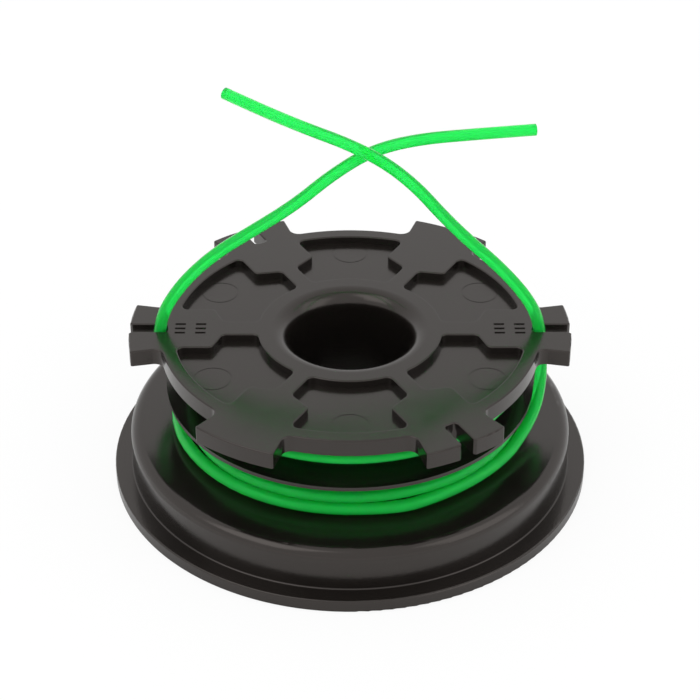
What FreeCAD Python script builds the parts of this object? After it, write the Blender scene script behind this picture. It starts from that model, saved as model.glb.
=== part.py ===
import FreeCAD, Part
import math
import os

# Trimmer line spool: a moulded plastic reel with two chambers, each wound with nylon line.
# Millimetres. +Z is the bore's axis, and the origin is its foot, on the plane that the brim
# stands on. Seen from the front (-Y), the line slots that are in use are right and left.

Vector = FreeCAD.Vector
UP = Vector(0, 0, 1)

# The stack, from the standing plane upwards
brim_thickness = 2.6
base_height = 11.3
lower_chamber = 8.5
divider_thickness = 0.8
upper_chamber = 7.9
flange_thickness = 3.4

# Radii of the moulding
bore_radius = 12.0
hub_radius = 16.0
flange_radius = 37.0
divider_radius = 36.3
wall_radius = 43.9
brim_radius = 47.4

# Rounded edges of the moulding
bore_mouth_round = 3.2
base_edge_round = 2.0
wall_foot_round = 0.3
brim_edge_round = 0.3
top_edge_round = 0.3

# Hollow underside of the base
base_wall = 2.2
base_plate = 2.2
hub_foot_gap = 1.0
rib_count = 6
rib_thickness = 1.6
rib_foot_gap = 3.5

# Tabs round the top flange
tab_count = 6
tab_radius = 43.2
tab_half_angle = 11.2
tab_root_round = 2.0
tab_corner_round = 0.4

# Slots in the tabs
slot_width = 2.6
line_slot_inner = 35.7
spare_slot_inner = 36.7
slot_mouth_flare = 0.5
slot_corner_round = 0.8
line_slot_angles = (0, 180)
spare_slot_angles = (120, 300)

# Raised ring, spokes and rim of the top flange, with the pockets between them
pocket_depth = 1.6
rim_width = 2.8
ring_radius = 18.1
spoke_narrow = 3.5
slot_spoke_narrow = 4.6
spoke_wide = 13.4
spoke_step_start = 24.8
spoke_step_end = 26.7
pocket_corner_round = 1.2

# Round witness marks of the ejector pins on the pocket floors
ejector_radius = 3.7
ejector_place = 30.2
ejector_groove = 0.25
ejector_depth = 0.06

# Plain raised tally bars on the spokes
tally_height = 0.2
tally_width = 0.4
tally_length = 2.0
tally_pitch = 1.5
tally_count = 3
tally_rows = (29.2, 33.2)

# The line and how it lies on the hub
line_diameter = 2.4
winding_clearance = 0.1
layer_pitch = 2.15
layer_count = 5
turns_in_layer = 3

# Loose outer turns: radius of the line's centre and its height over the chamber's floor.
# The lower ones are a little wider from side to side. The earlier one lies further in and up,
# and has a smaller share of that bulge.
lower_loose_radius = 32.9
lower_loose_bulge = 1.6
lower_loose_inset = 0.5
lower_bulge_share = 0.5
lower_loose_height = 1.8
lower_loose_pitch = 2.45
upper_loose_radius = 33.5
upper_loose_height = 4.9

# Places worked out from the stack
lower_floor = base_height
divider_foot = lower_floor + lower_chamber
upper_floor = divider_foot + divider_thickness
flange_foot = upper_floor + upper_chamber
spool_top = flange_foot + flange_thickness
pocket_radius = flange_radius - rim_width
line_radius = line_diameter / 2

# How far a cutting shape runs past the faces that it opens
past_face = 1.0
# Share of the shorter neighbouring run that each bend of the line takes up
bend_share = 0.45

# The loose turns, as angles round the bore, and where the lower ones step down one pitch
turn_step = 30
lead_in_steps = 4
lower_turn_from = -630
lower_turn_to = -60
lower_step_from = -330
lower_step_to = -210
upper_turn_from = -260
upper_turn_to = 100

# Route of each line end from its last loose turn through its slot to the cut end.
# x and y are from the bore's axis, z is from the top face of the flange.
lower_tail_route = [
    (16.1, -29.5, -19.2),
    (22.1, -25.4, -19.3),
    (26.9, -20.9, -19.1),
    (30.6, -16.2, -18.6),
    (33.3, -11.6, -17.8),
    (35.4, -7.6, -16.7),
    (36.8, -4.4, -15.1),
    (37.5, -2.1, -12.9),
    (37.8, -0.7, -10.2),
    (37.7, 0.0, -7.0),
    (37.5, 0.0, -3.6),
    (37.0, 0.0, -0.1),
    (36.2, 0.0, 3.4),
    (34.2, 0.1, 7.1),
    (31.3, 0.8, 10.6),
    (27.5, 1.6, 14.4),
    (22.7, 2.4, 18.6),
    (17.7, 3.2, 23.6),
    (12.7, 4.9, 28.9),
    (6.7, 7.7, 32.7),
    (-0.5, 11.2, 34.8),
    (-8.3, 15.3, 35.8),
    (-16.3, 20.2, 36.8),
    (-24.6, 26.0, 37.9),
]
upper_tail_route = [
    (-19.0, 30.2, -6.9),
    (-30.0, 22.6, -8.0),
    (-36.0, 13.4, -8.9),
    (-38.2, 6.6, -9.1),
    (-38.4, 2.3, -7.9),
    (-37.9, 0.0, -4.6),
    (-37.2, 0.0, -0.8),
    (-36.5, 0.0, 3.1),
    (-34.3, 0.0, 7.5),
    (-30.7, 0.2, 12.2),
    (-25.4, 1.1, 16.8),
    (-18.3, 2.3, 21.0),
    (-10.6, 4.8, 25.0),
    (-3.5, 9.4, 29.0),
    (4.1, 14.4, 31.5),
    (12.9, 18.2, 31.9),
    (23.8, 21.1, 31.4),
    (36.6, 23.6, 31.1),
]


def turned(x, y, degrees):
    """A point of the plan, turned about the bore's axis."""
    angle = math.radians(degrees)
    return x * math.cos(angle) - y * math.sin(angle), x * math.sin(angle) + y * math.cos(angle)


def polar(radius, degrees, z=0.0):
    x, y = turned(radius, 0.0, degrees)
    return Vector(x, y, z)


def revolved(edges):
    """A solid of revolution from edges drawn in the XZ plane."""
    face = Part.Face(Part.Wire(edges))
    return face.revolve(Vector(0, 0, 0), UP, 360)


def run(r1, z1, r2, z2):
    return Part.LineSegment(Vector(r1, 0, z1), Vector(r2, 0, z2)).toShape()


def corner(start, centre, end):
    """A quarter round from start to end about its centre, bulging away from the centre."""
    a = Vector(start[0], 0, start[1])
    b = Vector(end[0], 0, end[1])
    c = Vector(centre[0], 0, centre[1])
    middle = (a - c) + (b - c)
    middle.normalize()
    return Part.Arc(a, c + middle * (a - c).Length, b).toShape()


def prism(points, z, height):
    """An upright prism over a closed outline of plan points."""
    corners = [Vector(x, y, z) for x, y in points]
    return Part.Face(Part.makePolygon(corners + corners[:1])).extrude(UP * height)


def sector(radius, half_angle, degrees, z, height):
    """A wedge with its tip on the axis and a round outer end."""
    low = polar(radius, degrees - half_angle, z)
    middle = polar(radius, degrees, z)
    high = polar(radius, degrees + half_angle, z)
    tip = Vector(0, 0, z)
    edges = [
        Part.LineSegment(tip, low).toShape(),
        Part.Arc(low, middle, high).toShape(),
        Part.LineSegment(high, tip).toShape(),
    ]
    return Part.Face(Part.Wire(edges)).extrude(UP * height)


def upright_edges(shape, radius):
    """The edges parallel to the axis whose plan radius is the given one."""
    found = []
    for edge in shape.Edges:
        a = edge.Vertexes[0].Point
        b = edge.Vertexes[-1].Point
        upright = math.hypot(a.x - b.x, a.y - b.y) < 1e-6 < abs(a.z - b.z)
        if upright and abs(math.hypot(a.x, a.y) - radius) < 1e-3:
            found.append(edge)
    return found


def turned_body():
    """Hub, hollow base and divider, up to the foot of the top flange."""
    cavity_radius = wall_radius - base_wall
    plate_foot = base_height - base_plate
    edge_start = base_height - base_edge_round
    foot_end = brim_thickness + wall_foot_round
    brim_top_start = brim_thickness - brim_edge_round
    brim_inner = brim_radius - brim_edge_round
    return revolved([
        run(bore_radius, flange_foot, bore_radius, hub_foot_gap),
        run(bore_radius, hub_foot_gap, hub_radius, hub_foot_gap),
        run(hub_radius, hub_foot_gap, hub_radius, plate_foot),
        run(hub_radius, plate_foot, cavity_radius, plate_foot),
        run(cavity_radius, plate_foot, cavity_radius, 0),
        run(cavity_radius, 0, brim_inner, 0),
        corner((brim_inner, 0), (brim_inner, brim_edge_round), (brim_radius, brim_edge_round)),
        run(brim_radius, brim_edge_round, brim_radius, brim_top_start),
        corner((brim_radius, brim_top_start), (brim_inner, brim_top_start), (brim_inner, brim_thickness)),
        run(brim_inner, brim_thickness, wall_radius + wall_foot_round, brim_thickness),
        corner((wall_radius + wall_foot_round, brim_thickness),
               (wall_radius + wall_foot_round, foot_end), (wall_radius, foot_end)),
        run(wall_radius, foot_end, wall_radius, edge_start),
        corner((wall_radius, edge_start), (wall_radius - base_edge_round, edge_start),
               (wall_radius - base_edge_round, base_height)),
        run(wall_radius - base_edge_round, base_height, hub_radius, base_height),
        run(hub_radius, base_height, hub_radius, divider_foot),
        run(hub_radius, divider_foot, divider_radius, divider_foot),
        run(divider_radius, divider_foot, divider_radius, upper_floor),
        run(divider_radius, upper_floor, hub_radius, upper_floor),
        run(hub_radius, upper_floor, hub_radius, flange_foot),
        run(hub_radius, flange_foot, bore_radius, flange_foot),
    ])


def flange_plate():
    """The top flange's disc with its tabs, before the bore, slots and pockets."""
    plate = Part.makeCylinder(flange_radius, flange_thickness, Vector(0, 0, flange_foot))
    for index in range(tab_count):
        degrees = index * 360 / tab_count
        plate = plate.fuse(sector(tab_radius, tab_half_angle, degrees, flange_foot, flange_thickness))
    plate = plate.removeSplitter()
    plate = plate.makeFillet(tab_root_round, upright_edges(plate, flange_radius))
    return plate.makeFillet(tab_corner_round, upright_edges(plate, tab_radius))


def slot_tool(inner, degrees):
    """A radial slot that is open at the tab's end, with a flared mouth."""
    half = slot_width / 2
    flare_start = tab_radius - slot_mouth_flare
    flare_end = half + slot_mouth_flare
    past = tab_radius + slot_mouth_flare
    outline = [(inner, -half), (flare_start, -half), (tab_radius, -flare_end), (past, -flare_end),
               (past, flare_end), (tab_radius, flare_end), (flare_start, half), (inner, half)]
    points = [turned(x, y, degrees) for x, y in outline]
    tool = prism(points, flange_foot - past_face, flange_thickness + 2 * past_face)
    return tool.makeFillet(slot_corner_round, upright_edges(tool, math.hypot(inner, half)))


def spoke(degrees, narrow):
    """The plan of one raised spoke, narrow by the ring and wide by the rim."""
    start = spoke_step_start
    end = spoke_step_end
    wide = spoke_wide / 2
    half = narrow / 2
    outline = [(0, -half), (start, -half), (end, -wide), (flange_radius, -wide),
               (flange_radius, wide), (end, wide), (start, half), (0, half)]
    points = [turned(x, y, degrees) for x, y in outline]
    return prism(points, spool_top - pocket_depth, pocket_depth + past_face)


def pocket_tool():
    """What is sunk into the top: the annulus between ring and rim, less the spokes."""
    floor = Vector(0, 0, spool_top - pocket_depth)
    tool = Part.makeCylinder(pocket_radius, pocket_depth + past_face, floor)
    tool = tool.cut(Part.makeCylinder(ring_radius, pocket_depth + past_face, floor))
    for index in range(tab_count):
        degrees = index * 360 / tab_count
        narrow = slot_spoke_narrow if degrees in line_slot_angles else spoke_narrow
        tool = tool.cut(spoke(degrees, narrow))
    corners = []
    for edge in tool.Edges:
        a = edge.Vertexes[0].Point
        b = edge.Vertexes[-1].Point
        if math.hypot(a.x - b.x, a.y - b.y) < 1e-6 < abs(a.z - b.z):
            corners.append(edge)
    return tool.makeFillet(pocket_corner_round, corners)


def ejector_tool():
    """Shallow round grooves, one in the middle of each pocket's floor."""
    floor = spool_top - pocket_depth - ejector_depth
    tools = []
    for index in range(tab_count):
        place = polar(ejector_place, (index + 0.5) * 360 / tab_count, floor)
        ring = Part.makeCylinder(ejector_radius, pocket_depth, place)
        inner = Part.makeCylinder(ejector_radius - ejector_groove, pocket_depth, place)
        tools.append(ring.cut(inner))
    return Part.makeCompound(tools)


def tally_bars():
    """Plain raised bars in rows on the two spokes of the line slots."""
    bars = []
    for degrees in line_slot_angles:
        for row in tally_rows:
            for index in range(tally_count):
                y = (index - (tally_count - 1) / 2) * tally_pitch
                outline = [(row - tally_length / 2, y - tally_width / 2),
                           (row + tally_length / 2, y - tally_width / 2),
                           (row + tally_length / 2, y + tally_width / 2),
                           (row - tally_length / 2, y + tally_width / 2)]
                points = [turned(px, py, degrees) for px, py in outline]
                bars.append(prism(points, spool_top - tally_height, 2 * tally_height))
    return bars


def ribs():
    """Radial ribs under the base, between the hub and the wall."""
    plate_foot = base_height - base_plate
    height = plate_foot - rib_foot_gap
    overlap = base_wall / 2
    found = []
    for index in range(rib_count):
        degrees = index * 360 / rib_count
        inner = hub_radius - overlap
        outer = wall_radius - overlap
        half = rib_thickness / 2
        outline = [(inner, -half), (outer, -half), (outer, half), (inner, half)]
        points = [turned(x, y, degrees) for x, y in outline]
        found.append(prism(points, rib_foot_gap, height + overlap))
    return found


def bore_tool():
    """The bore through the flange, with its round mouth."""
    mouth_start = spool_top - bore_mouth_round
    mouth_radius = bore_radius + bore_mouth_round
    below = flange_foot - past_face
    above = spool_top + past_face
    return revolved([
        run(0, below, bore_radius, below),
        run(bore_radius, below, bore_radius, mouth_start),
        corner((bore_radius, mouth_start), (mouth_radius, mouth_start), (mouth_radius, spool_top)),
        run(mouth_radius, spool_top, mouth_radius, above),
        run(mouth_radius, above, 0, above),
        run(0, above, 0, below),
    ])


def top_edges(shape):
    """The edges that lie in the top face of the flange."""
    found = []
    for edge in shape.Edges:
        box = edge.BoundBox
        if abs(box.ZMin - spool_top) < 1e-4 and abs(box.ZMax - spool_top) < 1e-4:
            found.append(edge)
    return found


def spool():
    """The whole moulding."""
    plate = flange_plate().cut(pocket_tool())
    for degrees in line_slot_angles:
        plate = plate.cut(slot_tool(line_slot_inner, degrees))
    for degrees in spare_slot_angles:
        plate = plate.cut(slot_tool(spare_slot_inner, degrees))
    plate = plate.makeFillet(top_edge_round, top_edges(plate))
    plate = plate.cut(bore_tool()).cut(ejector_tool())
    body = turned_body().fuse(ribs())
    body = body.fuse([plate] + tally_bars())
    return body.removeSplitter()


def strand(radius, z, start, end):
    """A stretch of line round the hub, as part of a wound layer."""
    circle = Part.Circle(polar(radius, start, z), polar(1, start + 90), line_radius)
    face = Part.Face(Part.Wire(circle.toShape()))
    return face.revolve(Vector(0, 0, 0), UP, end - start)


def strand_heights(floor, chamber):
    """Heights of the turns of one full layer, evenly spread between floor and ceiling."""
    low = floor + line_radius + winding_clearance
    high = floor + chamber - line_radius - winding_clearance
    return [low + (high - low) * index / (turns_in_layer - 1) for index in range(turns_in_layer)]


def wound_radius():
    """Radius of the tight turns' outermost centres."""
    return hub_radius + winding_clearance + line_radius + (layer_count - 1) * layer_pitch


def winding(floor, chamber, lead_angle):
    """The tight turns on the hub as one solid, with the stretch that leads off them."""
    inner = hub_radius + winding_clearance
    outer = wound_radius()
    heights = strand_heights(floor, chamber)
    foot = heights[0] - line_radius
    head = heights[-1] + line_radius
    edges = [run(inner, head, inner, foot), run(inner, foot, outer, foot)]
    last = foot
    for z in heights:
        if z - line_radius > last:
            edges.append(run(outer, last, outer, z - line_radius))
        last = z + line_radius
        low = Vector(outer, 0, z - line_radius)
        high = Vector(outer, 0, last)
        edges.append(Part.Arc(low, Vector(outer + line_radius, 0, z), high).toShape())
    edges.append(run(outer, head, inner, head))
    lead_height = heights[len(heights) // 2]
    lead = strand(outer + layer_pitch, lead_height, lead_angle - 2 * turn_step, lead_angle)
    return revolved(edges).fuse(lead)


def loose_turns(start, end, lead_height, place_at):
    """Route points round the hub, from the tight turns out to the loose ones."""
    lead_radius = wound_radius() + line_diameter + winding_clearance
    outside = 1 / math.cos(math.radians(turn_step / 2))
    points = [polar(lead_radius, start, lead_height)]
    for index in range(round((end - start) / turn_step)):
        share = min(1.0, index / lead_in_steps)
        degrees = start + (index + 0.5) * turn_step
        radius, height = place_at(degrees)
        spread = (lead_radius + (radius - lead_radius) * share) * outside
        points.append(polar(spread, degrees, lead_height + (height - lead_height) * share))
    return points


def rounded_path(points):
    """Straight runs joined by tangent arcs, and the arcs' radii."""
    edges = []
    radii = []
    last = points[0]
    for before, at, after in zip(points, points[1:], points[2:]):
        back = before - at
        ahead = after - at
        shorter = min(back.Length, ahead.Length)
        back.normalize()
        ahead.normalize()
        half_turn = (math.pi - back.getAngle(ahead)) / 2
        trim = bend_share * shorter
        radius = trim / math.tan(half_turn)
        enter = at + back * trim
        leave = at + ahead * trim
        inward = back + ahead
        inward.normalize()
        middle = at + inward * (math.hypot(radius, trim) - radius)
        edges.append(Part.LineSegment(last, enter).toShape())
        edges.append(Part.Arc(enter, middle, leave).toShape())
        radii.append(radius)
        last = leave
    edges.append(Part.LineSegment(last, points[-1]).toShape())
    return Part.Wire(edges), radii


def line_tube(name, points):
    """The line along a route, as a tube."""
    path, radii = rounded_path(points)
    direction = points[1] - points[0]
    ring = Part.Wire(Part.Circle(points[0], direction, line_radius).toShape())
    tube = path.makePipeShell([ring], True, True)
    expected = math.pi * line_radius ** 2 * path.Length
    print(name, "length", round(path.Length, 1), "volume share", round(tube.Volume / expected, 4))
    print(name, "bend radii", [round(radius, 1) for radius in radii])
    return tube


def lower_place(degrees):
    """Radius and height of the lower loose turns, which step out and down behind the hub."""
    share = (degrees - lower_step_from) / (lower_step_to - lower_step_from)
    left = 1 - min(1.0, max(0.0, share))
    bulge = lower_loose_bulge * (1 - (1 - lower_bulge_share) * left)
    radius = lower_loose_radius - lower_loose_inset * left
    radius += bulge * math.cos(math.radians(degrees)) ** 2
    return radius, lower_floor + lower_loose_height + lower_loose_pitch * left


def upper_place(degrees):
    return upper_loose_radius, upper_floor + upper_loose_height


def from_top(route):
    return [Vector(x, y, spool_top + z) for x, y, z in route]


os.makedirs("parts", exist_ok=True)

lower_lead_height = strand_heights(lower_floor, lower_chamber)[turns_in_layer // 2]
upper_lead_height = strand_heights(upper_floor, upper_chamber)[turns_in_layer // 2]
lower_route = loose_turns(lower_turn_from, lower_turn_to, lower_lead_height, lower_place)
upper_route = loose_turns(upper_turn_from, upper_turn_to, upper_lead_height, upper_place)
pieces = {
    "spool": spool(),
    "lower_winding": winding(lower_floor, lower_chamber, lower_turn_from),
    "upper_winding": winding(upper_floor, upper_chamber, upper_turn_from),
    "lower_line_tail": line_tube("lower_line_tail", lower_route + from_top(lower_tail_route)),
    "upper_line_tail": line_tube("upper_line_tail", upper_route + from_top(upper_tail_route)),
}
for name, shape in pieces.items():
    print(name, "solids", len(shape.Solids), "valid", shape.isValid(), "volume", round(shape.Volume, 1))
    shape.exportStep("parts/" + name + ".step")
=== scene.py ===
import logging
import math
from dataclasses import dataclass
from enum import Enum

import bpy
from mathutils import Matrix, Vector


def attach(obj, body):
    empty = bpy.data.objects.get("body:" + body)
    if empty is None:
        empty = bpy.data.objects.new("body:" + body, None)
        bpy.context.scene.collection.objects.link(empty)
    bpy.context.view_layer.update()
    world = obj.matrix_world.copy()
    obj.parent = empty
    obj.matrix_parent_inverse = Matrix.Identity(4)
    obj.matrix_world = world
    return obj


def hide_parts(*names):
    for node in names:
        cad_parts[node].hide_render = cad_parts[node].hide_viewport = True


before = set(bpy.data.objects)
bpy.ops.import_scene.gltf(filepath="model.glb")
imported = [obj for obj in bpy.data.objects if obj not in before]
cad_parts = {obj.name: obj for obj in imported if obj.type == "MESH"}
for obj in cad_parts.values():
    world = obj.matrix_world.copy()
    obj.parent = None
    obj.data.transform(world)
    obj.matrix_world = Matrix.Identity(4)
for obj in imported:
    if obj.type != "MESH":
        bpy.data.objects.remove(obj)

# Trimmer line spool: a black moulded reel with two chambers, each wound with a length of
# green nylon line. The ends of the line come up through slots in the top flange and cross.
# Sizes below are millimetres and degrees unless a name says otherwise; Blender works in metres.

MM = 0.001
FULL_TURN = 360
log = logging.getLogger("trimmer_line_spool")
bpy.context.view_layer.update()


def linear(hex_colour: str) -> tuple[float, float, float, float]:
    """Turns an sRGB hex colour into linear RGBA.

    Args:
        hex_colour: Six hex digits, with or without a leading hash.

    Returns:
        Linear red, green, blue and an alpha of 1.
    """
    digits = hex_colour.lstrip("#")
    channels = [int(digits[start:start + 2], 16) / 255 for start in (0, 2, 4)]
    red, green, blue = [
        value / 12.92 if value <= 0.04045 else ((value + 0.055) / 1.055) ** 2.4
        for value in channels
    ]
    return red, green, blue, 1.0


def polar(radius: float, degrees: float, height: float) -> Vector:
    """Finds a point round the bore's axis.

    Args:
        radius: Distance from the axis.
        degrees: Angle round it, from +X towards +Y.
        height: Height over the standing plane.

    Returns:
        The point in millimetres.
    """
    angle = math.radians(degrees)
    return Vector((radius * math.cos(angle), radius * math.sin(angle), height))


def add_node(tree: bpy.types.NodeTree, kind: str, links: dict | None = None,
             values: dict | None = None, **settings) -> bpy.types.Node:
    """Adds one node with its settings, its socket values and its incoming links.

    Args:
        tree: The node tree to add to.
        kind: The node's type, such as ShaderNodeBump.
        links: Input socket name or number to the output socket that feeds it.
        values: Input socket name or number to its constant value.
        **settings: The node's own properties.

    Returns:
        The new node.
    """
    node = tree.nodes.new(kind)
    for name, value in settings.items():
        setattr(node, name, value)
    for socket, value in (values or {}).items():
        node.inputs[socket].default_value = value
    for socket, source in (links or {}).items():
        tree.links.new(source, node.inputs[socket])
    return node


def empty_material(name: str) -> tuple[bpy.types.Material, bpy.types.NodeTree]:
    """Starts a material with no nodes in its tree.

    Args:
        name: The material's name.

    Returns:
        The material and its node tree.
    """
    material = bpy.data.materials.new(name)
    material.use_nodes = True
    material.node_tree.nodes.clear()
    return material, material.node_tree


def seen_by(tree: bpy.types.NodeTree, *rays: str) -> bpy.types.NodeSocket:
    """Adds nodes that tell whether a ray is of one of the named kinds.

    Args:
        tree: The node tree to add to.
        *rays: Names of the light path's outputs, such as Is Camera Ray.

    Returns:
        A socket that is 1 for those rays and 0 for all others.
    """
    path = add_node(tree, "ShaderNodeLightPath")
    seen = path.outputs[rays[0]]
    for ray in rays[1:]:
        seen = add_node(tree, "ShaderNodeMath", {0: seen, 1: path.outputs[ray]},
                        operation="MAXIMUM").outputs[0]
    return seen


class Chamber(Enum):
    """The two chambers of the spool."""

    LOWER = "lower"
    UPPER = "upper"


@dataclass(frozen=True)
class MouldedNylon:
    """Black glass-filled nylon, injection moulded in a finely spark-eroded tool.

    To the eye it is a soft black with a satin sheen: pale surroundings lie on it as a blurred
    grey, and the tool's texture breaks the reflection up a little.
    """

    colour: str = "#12100E"
    worn_colour: str = "#191614"
    # Light that glances off the skin is a little warm.
    sheen_colour: str = "#FFF4EE"
    roughness_low: float = 0.16
    roughness_high: float = 0.23
    ior: float = 1.54
    # The real texture is about 0.1 mm, which is too fine to show, so it is drawn coarser.
    texture_size: float = 0.5
    texture_depth: float = 0.012
    # Flow of the melt shows as broad, faint clouds, between these two shades of the noise.
    cloud_size: float = 9.0
    cloud_detail: float = 3.0
    cloud_roughness: float = 0.55
    cloud_low: float = 0.3
    cloud_high: float = 0.7

    def make(self) -> bpy.types.Material:
        """Builds the material.

        Returns:
            The finished material.
        """
        material, tree = empty_material("moulded_black_nylon")
        place = add_node(tree, "ShaderNodeTexCoord").outputs["Object"]
        clouds = add_node(tree, "ShaderNodeTexNoise", {"Vector": place},
                          {"Scale": 1 / (self.cloud_size * MM), "Detail": self.cloud_detail,
                           "Roughness": self.cloud_roughness})
        colour = add_node(tree, "ShaderNodeMix", {0: clouds.outputs["Fac"]},
                          {6: linear(self.colour), 7: linear(self.worn_colour)}, data_type="RGBA")
        gloss = add_node(tree, "ShaderNodeMapRange", {"Value": clouds.outputs["Fac"]},
                         {"From Min": self.cloud_low, "From Max": self.cloud_high,
                          "To Min": self.roughness_low, "To Max": self.roughness_high})
        grain = add_node(tree, "ShaderNodeTexNoise", {"Vector": place},
                         {"Scale": 1 / (self.texture_size * MM), "Detail": 2.0})
        bump = add_node(tree, "ShaderNodeBump", {"Height": grain.outputs["Fac"]},
                        {"Distance": self.texture_depth * MM, "Strength": 1.0})
        shader = add_node(tree, "ShaderNodeBsdfPrincipled",
                          {"Base Color": colour.outputs[2], "Roughness": gloss.outputs[0],
                           "Normal": bump.outputs[0]},
                          {"IOR": self.ior, "Specular Tint": linear(self.sheen_colour)})
        add_node(tree, "ShaderNodeOutputMaterial", {"Surface": shader.outputs[0]})
        return material


@dataclass(frozen=True)
class CuttingLine:
    """Bright green nylon monofilament, drawn through a round die.

    To the eye it is a glowing green rod: light from behind passes through it or spreads along
    its milky body. Its drawn skin is smooth and shiny, and very slightly wavy.
    """

    colour: str = "#3CFE70"
    deep_colour: str = "#28F862"
    # Even the glints on it are green.
    glint_colour: str = "#60FF90"
    roughness: float = 0.1
    ior: float = 1.53
    transmission: float = 0.6
    # Light that the line's milky body spreads along inside it: how far red, green and blue go.
    spread: tuple[float, float, float] = (0.1, 1.0, 0.35)
    spread_length: float = 2.4
    # Length over which the drawn skin swells and thins.
    wave_size: float = 6.0
    wave_depth: float = 0.03

    def make(self) -> bpy.types.Material:
        """Builds the material.

        Returns:
            The finished material.
        """
        material, tree = empty_material("drawn_green_nylon_line")
        place = add_node(tree, "ShaderNodeTexCoord").outputs["Object"]
        waves = add_node(tree, "ShaderNodeTexNoise", {"Vector": place},
                         {"Scale": 1 / (self.wave_size * MM), "Detail": 1.0})
        colour = add_node(tree, "ShaderNodeMix", {0: waves.outputs["Fac"]},
                          {6: linear(self.deep_colour), 7: linear(self.colour)}, data_type="RGBA")
        bump = add_node(tree, "ShaderNodeBump", {"Height": waves.outputs["Fac"]},
                        {"Strength": 1.0, "Distance": self.wave_depth * MM})
        shader = add_node(tree, "ShaderNodeBsdfPrincipled",
                          {"Base Color": colour.outputs[2], "Normal": bump.outputs[0]},
                          {"Roughness": self.roughness, "IOR": self.ior,
                           "Specular Tint": linear(self.glint_colour),
                           "Subsurface Weight": 1.0, "Subsurface Radius": self.spread,
                           "Subsurface Scale": self.spread_length * MM,
                           "Transmission Weight": self.transmission})
        add_node(tree, "ShaderNodeOutputMaterial", {"Surface": shader.outputs[0]})
        return material


@dataclass(frozen=True)
class StudioCard:
    """Smooth white card under the spool.

    To the camera, and through the line, it is white with a faint shadow. Reflections see it as
    plain card that is dark where the spool shades it.
    """

    colour: str = "#F4F4F4"
    # How much of what the camera sees is even white, and not shaded card.
    glow_share: float = 0.88

    def make(self) -> bpy.types.Material:
        """Builds the material.

        Returns:
            The finished material.
        """
        material, tree = empty_material("white_studio_card")
        seen = seen_by(tree, "Is Camera Ray", "Is Transmission Ray")
        share = add_node(tree, "ShaderNodeMath", {0: seen}, {1: self.glow_share},
                         operation="MULTIPLY")
        card = add_node(tree, "ShaderNodeBsdfDiffuse", None, {"Color": linear(self.colour)})
        glow = add_node(tree, "ShaderNodeEmission", None, {"Color": (1, 1, 1, 1), "Strength": 1.0})
        mix = add_node(tree, "ShaderNodeMixShader",
                       {0: share.outputs[0], 1: card.outputs[0], 2: glow.outputs[0]})
        add_node(tree, "ShaderNodeOutputMaterial", {"Surface": mix.outputs[0]})
        return material


@dataclass
class Reel:
    """The moulding's sizes that the line lies against."""

    hub_radius: float = 16.0
    lower_floor: float = 11.3
    lower_chamber: float = 8.5
    divider_thickness: float = 0.8
    upper_chamber: float = 7.9
    flange_thickness: float = 3.4

    @property
    def upper_floor(self) -> float:
        """Height of the divider's top face."""
        return self.lower_floor + self.lower_chamber + self.divider_thickness

    @property
    def top(self) -> float:
        """Height of the flange's top face."""
        return self.upper_floor + self.upper_chamber + self.flange_thickness

    def chamber(self, which: Chamber) -> tuple[float, float]:
        """Tells where a chamber lies.

        Args:
            which: The chamber.

        Returns:
            The height of its floor, and its clear height.
        """
        if which is Chamber.LOWER:
            return self.lower_floor, self.lower_chamber
        return self.upper_floor, self.upper_chamber

    def dress(self, finish: MouldedNylon) -> None:
        """Gives the moulding its finish.

        Args:
            finish: The plastic that the reel is moulded in.
        """
        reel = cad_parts["spool"]
        material = finish.make()
        if not reel.material_slots:
            reel.data.materials.append(material)
        for socket in reel.material_slots:
            socket.material = material
        log.info("spool: dressed as %s", material.name)


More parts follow.
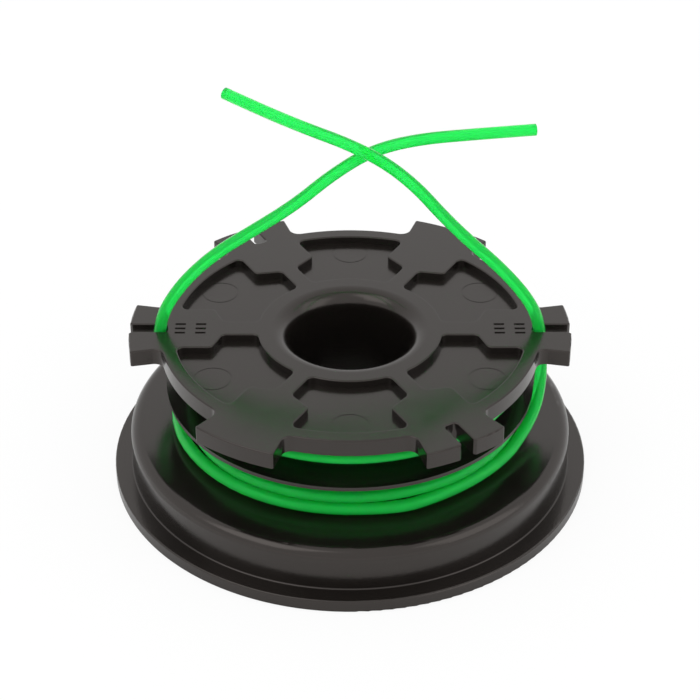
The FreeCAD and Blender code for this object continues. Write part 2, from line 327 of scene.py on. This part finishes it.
@dataclass
class LineLength:
    """One length of line: tight turns on the hub, loose turns round them, and the free end.

    Angles run round the bore in the winding's direction, and whole turns add up in them. The
    loose turns start at turn_from and end at turn_to, where the free end's own points start.
    """

    chamber: Chamber
    reel: Reel
    turn_from: float
    turn_to: float
    loose_radius: float
    loose_height: float
    free_end: list[tuple[float, float, float]]
    length_m: float
    # The loose turns bulge from side to side. The earlier ones lie further in and higher, up to
    # where they step out and down, and have a smaller share of the bulge.
    loose_bulge: float = 0.0
    bulge_share: float = 0.5
    loose_inset: float = 0.0
    loose_pitch: float = 0.0
    step_from: float = -330.0
    step_to: float = -210.0
    diameter: float = 2.4
    clearance: float = 0.1
    layer_pitch: float = 2.15
    turns_in_layers: tuple[int, ...] = (3, 2, 3, 2, 3)
    # Angle from each control point to the next.
    turn_step: int = 30
    # Steps in which the line climbs off the tight turns, and then out to the loose ones.
    lead_off_steps: int = 2
    lead_in_steps: int = 4
    # Steps in which each tight turn crosses over to the next.
    crossing_steps: int = 3
    ring_corners: int = 6
    smoothness: int = 6

    @property
    def name(self) -> str:
        """The piece's name."""
        return self.chamber.value + "_line"

    @property
    def spread(self) -> float:
        """Share by which a turn's control points lie further out than the turn itself."""
        return 1 / math.cos(math.radians(self.turn_step / 2))

    def layer_radius(self, layer: int) -> float:
        """Finds the radius of the line's centre in a layer on the hub.

        Args:
            layer: The layer's number, from 0 at the hub.

        Returns:
            The radius.
        """
        return self.reel.hub_radius + self.clearance + self.diameter / 2 + layer * self.layer_pitch

    def lay(self) -> list[tuple[float, float]]:
        """Radius and height of each tight turn, from the hub outwards, up and down in turn.

        Returns:
            One radius and height for each turn, in winding order.
        """
        floor, clear = self.reel.chamber(self.chamber)
        low = floor + self.diameter / 2 + self.clearance
        high = floor + clear - self.diameter / 2 - self.clearance
        full = max(self.turns_in_layers)
        pitch = (high - low) / (full - 1)
        turns = []
        for layer, count in enumerate(self.turns_in_layers):
            start = low + pitch * (full - count) / 2
            heights = [start + pitch * index for index in range(count)]
            if layer % 2:
                heights.reverse()
            turns += [(self.layer_radius(layer), height) for height in heights]
        return turns

    def tight_turns(self) -> list[Vector]:
        """Control points of the tight turns, each stepping to the next near its end.

        Returns:
            The points in millimetres, up to where the loose turns start.
        """
        turns = self.lay()
        floor, clear = self.reel.chamber(self.chamber)
        layers = len(self.turns_in_layers)
        lead = (self.layer_radius(layers), floor + clear / 2)
        steps = FULL_TURN // self.turn_step
        start = self.turn_from - self.lead_off_steps * self.turn_step - FULL_TURN * len(turns)
        points = [polar(turns[0][0], start, turns[0][1])]
        for index, (radius, height) in enumerate(turns):
            next_radius, next_height = (turns + [lead])[index + 1]
            for step in range(steps):
                crossed = step + self.crossing_steps - steps + 1
                share = max(0.0, crossed / (self.crossing_steps + 1))
                degrees = start + FULL_TURN * index + (step + 0.5) * self.turn_step
                points.append(polar((radius + (next_radius - radius) * share) * self.spread,
                                    degrees, height + (next_height - height) * share))
        for step in range(self.lead_off_steps):
            degrees = self.turn_from - (self.lead_off_steps - step - 0.5) * self.turn_step
            points.append(polar(lead[0] * self.spread, degrees, lead[1]))
        return points

    def loose_place(self, degrees: float) -> tuple[float, float]:
        """Finds where the loose turns lie at an angle.

        Args:
            degrees: The angle round the bore.

        Returns:
            The radius and height of the line's centre.
        """
        floor, _ = self.reel.chamber(self.chamber)
        share = (degrees - self.step_from) / (self.step_to - self.step_from)
        left = 1 - min(1.0, max(0.0, share))
        bulge = self.loose_bulge * (1 - (1 - self.bulge_share) * left)
        radius = self.loose_radius - self.loose_inset * left
        radius += bulge * math.cos(math.radians(degrees)) ** 2
        return radius, floor + self.loose_height + self.loose_pitch * left

    def loose_turns(self) -> list[Vector]:
        """Control points of the loose turns, from the tight ones to the free end.

        Returns:
            The points in millimetres.
        """
        floor, clear = self.reel.chamber(self.chamber)
        lead_height = floor + clear / 2
        outermost = self.layer_radius(len(self.turns_in_layers) - 1)
        lead_radius = outermost + self.diameter + self.clearance
        points = []
        for index in range(round((self.turn_to - self.turn_from) / self.turn_step)):
            share = min(1.0, index / self.lead_in_steps)
            degrees = self.turn_from + (index + 0.5) * self.turn_step
            loose_radius, loose_height = self.loose_place(degrees)
            radius = lead_radius + (loose_radius - lead_radius) * share
            height = lead_height + (loose_height - lead_height) * share
            points.append(polar(radius * self.spread, degrees, height))
        return points

    def build(self) -> bpy.types.Object:
        """Lays the whole length as one smooth spline.

        Returns:
            The curve object.
        """
        lift = Vector((0, 0, self.reel.top))
        points = self.tight_turns() + self.loose_turns()
        points += [Vector(point) + lift for point in self.free_end]
        curve = bpy.data.curves.new(self.name, "CURVE")
        curve.dimensions = "3D"
        # Each control point carries the line's own radius, so the bevel multiplies it by 1.
        curve.bevel_depth = 1.0
        curve.bevel_resolution = self.ring_corners
        curve.use_fill_caps = True
        spline = curve.splines.new("NURBS")
        spline.points.add(len(points) - 1)
        for control, point in zip(spline.points, points):
            control.co = (*(point * MM), 1.0)
            control.radius = self.diameter / 2 * MM
        spline.order_u = 3
        spline.use_endpoint_u = True
        spline.resolution_u = self.smoothness
        piece = bpy.data.objects.new(self.name, curve)
        bpy.context.scene.collection.objects.link(piece)
        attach(piece, "root")
        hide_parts(self.chamber.value + "_winding", self.chamber.value + "_line_tail")
        log.info("%s: %d control points", self.name, len(points))
        return piece


# The free ends, as the line goes from its last loose turn through its slot to the cut end.
# x and y are from the bore's axis, and z is from the top face of the flange.
LOWER_FREE_END = [
    (16.1, -29.4, -18.8),
    (22.0, -25.2, -18.9),
    (26.8, -20.8, -18.8),
    (30.6, -16.2, -18.6),
    (33.3, -11.6, -17.8),
    (35.4, -7.6, -16.7),
    (36.8, -4.4, -15.1),
    (37.5, -2.1, -12.9),
    (37.8, -0.7, -10.2),
    (37.7, 0.0, -7.0),
    (37.5, 0.0, -3.6),
    (37.0, 0.0, -0.1),
    (36.2, 0.0, 3.4),
    (34.2, 0.1, 7.1),
    (31.3, 0.8, 10.6),
    (27.5, 1.6, 14.4),
    (22.7, 2.4, 18.6),
    (17.7, 3.2, 23.6),
    (12.7, 4.9, 28.9),
    (6.7, 7.7, 32.7),
    (-0.5, 11.2, 34.8),
    (-8.3, 15.3, 35.8),
    (-16.3, 20.2, 36.8),
    (-24.6, 26.0, 37.9),
]
UPPER_FREE_END = [
    (-19.0, 30.2, -6.9),
    (-30.0, 22.6, -8.0),
    (-36.0, 13.4, -8.9),
    (-38.2, 6.6, -9.1),
    (-38.4, 2.3, -7.9),
    (-37.9, 0.0, -4.6),
    (-37.2, 0.0, -0.8),
    (-36.5, 0.0, 3.1),
    (-34.3, 0.0, 7.5),
    (-30.7, 0.2, 12.2),
    (-25.4, 1.1, 16.8),
    (-18.3, 2.3, 21.0),
    (-10.6, 4.8, 25.0),
    (-3.5, 9.4, 29.0),
    (4.1, 14.4, 31.5),
    (12.9, 18.2, 31.9),
    (23.8, 21.1, 31.4),
    (36.6, 23.6, 31.1),
]


@dataclass
class PhotoCamera:
    """The camera, at the photograph's angle and distance."""

    elevation: float = 33.81
    distance: float = 426.0
    lens: float = 111.99
    sensor: float = 36.0
    frame_pixels: float = 700.0
    # How far the flange's centre lies above the middle of the frame, in pixels.
    raised_pixels: float = 22.2

    def build(self, target_height: float) -> bpy.types.Object:
        """Sets the camera up.

        Args:
            target_height: Height of the point it looks at, on the bore's axis.

        Returns:
            The camera object, which is also made the scene's camera.
        """
        angle = math.radians(self.elevation)
        data = bpy.data.cameras.new("photo_camera")
        data.lens = self.lens
        data.sensor_width = self.sensor
        data.shift_y = -self.raised_pixels / self.frame_pixels
        camera = bpy.data.objects.new("photo_camera", data)
        camera.location = Vector((0, -self.distance * math.cos(angle),
                                  target_height + self.distance * math.sin(angle))) * MM
        camera.rotation_euler = (math.pi / 2 - angle, 0, 0)
        bpy.context.scene.collection.objects.link(camera)
        bpy.context.scene.camera = camera
        log.info("camera: %.0f mm away", self.distance)
        return camera


@dataclass
class Studio:
    """White surroundings, a white floor and soft lamps."""

    # The floor and the lamps are in metres and watts: name, place, width and power.
    floor_size: float = 3.0
    world_strength: float = 1.0
    lamps: tuple[tuple[str, tuple[float, float, float], float, float], ...] = (
        ("key_lamp", (-0.5, -0.35, 0.8), 0.7, 1.8),
        ("fill_lamp", (0.7, -0.3, 0.5), 0.7, 1.2),
    )

    def floor(self, finish: StudioCard) -> None:
        """Lays the card that the spool stands on.

        Args:
            finish: The card's material.
        """
        bpy.ops.object.select_all(action="DESELECT")
        bpy.ops.mesh.primitive_plane_add(size=self.floor_size)
        floor = bpy.context.object
        floor.name = "studio_floor"
        floor.data.materials.append(finish.make())

    def surroundings(self) -> None:
        """Makes the world white, and lights the spool with it at a plain level."""
        world = bpy.data.worlds.new("white_studio")
        bpy.context.scene.world = world
        world.use_nodes = True
        tree = world.node_tree
        tree.nodes.clear()
        seen = seen_by(tree, "Is Camera Ray", "Is Glossy Ray", "Is Transmission Ray")
        light = add_node(tree, "ShaderNodeBackground", None,
                         {"Color": (1, 1, 1, 1), "Strength": self.world_strength})
        white = add_node(tree, "ShaderNodeBackground", None,
                         {"Color": (1, 1, 1, 1), "Strength": 1.0})
        mix = add_node(tree, "ShaderNodeMixShader",
                       {0: seen, 1: light.outputs[0], 2: white.outputs[0]})
        add_node(tree, "ShaderNodeOutputWorld", {"Surface": mix.outputs[0]})

    def light(self) -> None:
        """Hangs the soft lamps, each turned to the spool."""
        for name, place, size, power in self.lamps:
            data = bpy.data.lights.new(name, "AREA")
            data.size = size
            data.energy = power
            lamp = bpy.data.objects.new(name, data)
            lamp.location = place
            lamp.rotation_euler = (-Vector(place)).to_track_quat("-Z", "Y").to_euler()
            bpy.context.scene.collection.objects.link(lamp)

    def build(self) -> None:
        """Sets the whole studio up."""
        self.floor(StudioCard())
        self.surroundings()
        self.light()
        bpy.context.scene.view_settings.view_transform = "Standard"
        log.info("studio: white floor and %d lamps", len(self.lamps))


def main() -> None:
    """Builds the camera, the two lengths of line, the reel's finish and the studio."""
    logging.basicConfig(level=logging.INFO, format="%(message)s")
    reel = Reel()
    PhotoCamera().build(reel.top)
    lengths = [
        LineLength(Chamber.LOWER, reel, turn_from=-630, turn_to=-60, loose_radius=32.9,
                   loose_height=1.8, free_end=LOWER_FREE_END, length_m=2.25, loose_bulge=1.6,
                   loose_inset=0.5, loose_pitch=2.45),
        LineLength(Chamber.UPPER, reel, turn_from=-260, turn_to=100, loose_radius=33.5,
                   loose_height=4.9, free_end=UPPER_FREE_END, length_m=2.15),
    ]
    pieces = [length.build() for length in lengths]
    nylon = CuttingLine().make()
    for piece in pieces:
        piece.data.materials.append(nylon)
    reel.dress(MouldedNylon())
    Studio().build()


if __name__ == "__main__":
    main()
